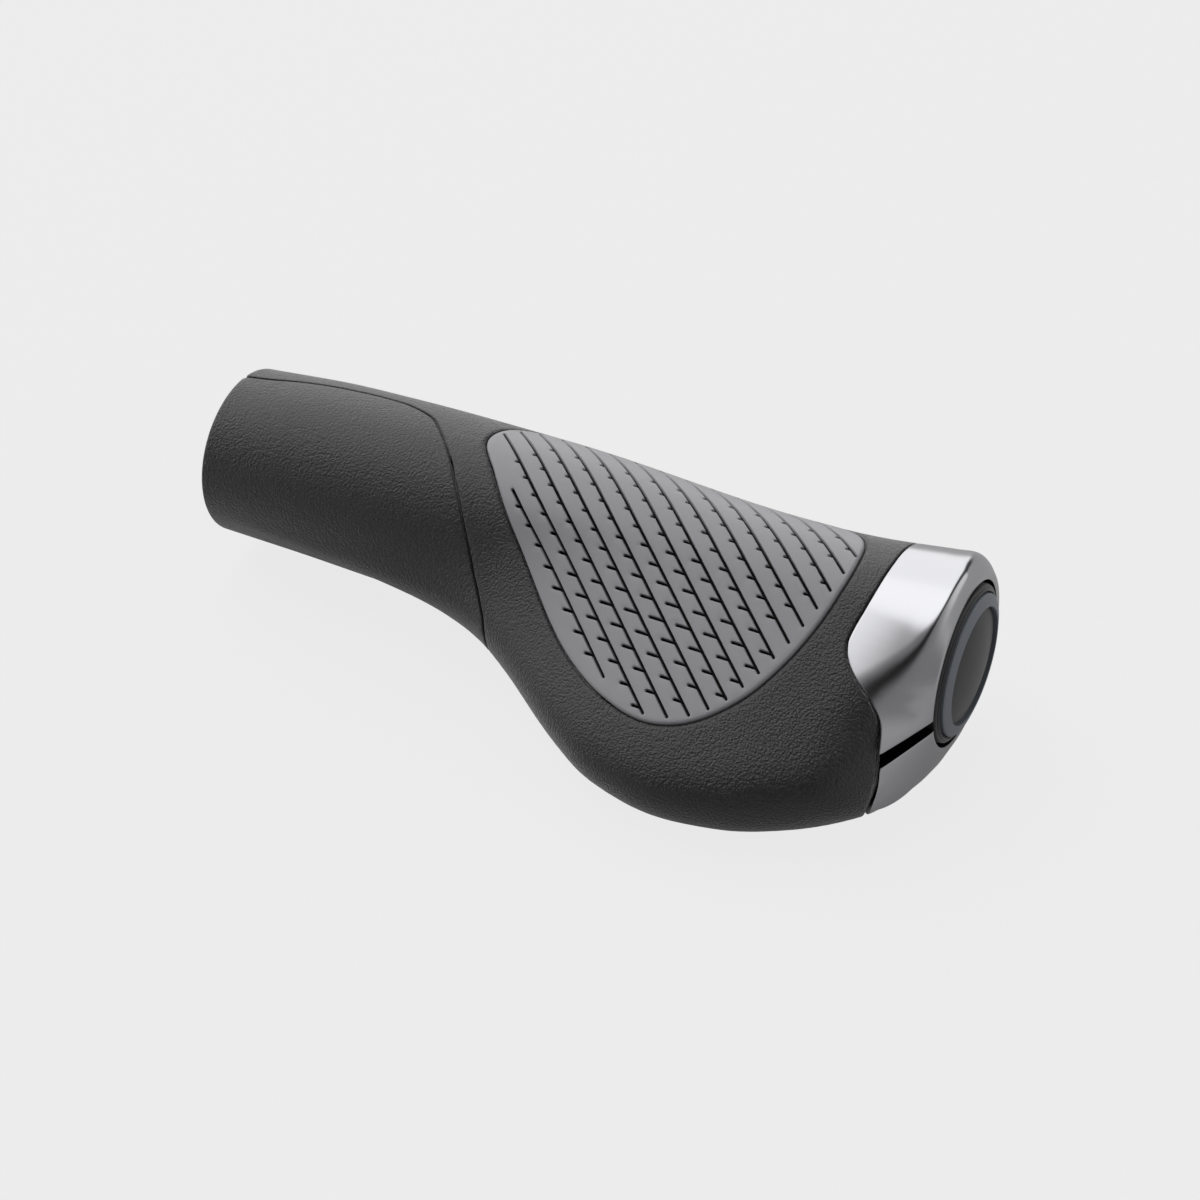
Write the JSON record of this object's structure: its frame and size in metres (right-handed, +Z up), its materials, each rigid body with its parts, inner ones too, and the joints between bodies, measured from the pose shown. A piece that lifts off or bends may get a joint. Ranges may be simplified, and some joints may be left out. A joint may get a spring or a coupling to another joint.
{
  "type": "handlebar grip",
  "caption": "Ergonomic rubber bicycle grip with a palm wing, a grooved tread inlay, a split aluminium clamp collar and a domed end plug.",
  "frame": {"origin": "on the handlebar's axis, at the grip's inboard end face", "axes": "+X outboard along the handlebar, -Y towards the rider, where the wing reaches, +Z up"},
  "size_m": [0.1371, 0.0573, 0.0339],
  "materials": {
    "core_nylon": "moulded black nylon",
    "grip_rubber": "charcoal rubber with a fine leather grain",
    "tread_rubber": "smooth mid-grey rubber",
    "collar_aluminium": "satin, bead blasted",
    "bolt_steel": "black oxide",
    "plug_plastic": "dark grey moulded",
    "ring_plastic": "blue-grey satin"
  },
  "bodies": {
    "root": {"core_tube": "core_nylon", "barrel_cover": "grip_rubber", "wing_body": "grip_rubber", "tread_panel": "tread_rubber", "clamp_collar": "collar_aluminium", "clamp_bolt": "bolt_steel", "end_plug": "plug_plastic", "plug_ring": "ring_plastic"}
  },
  "joints": []
}
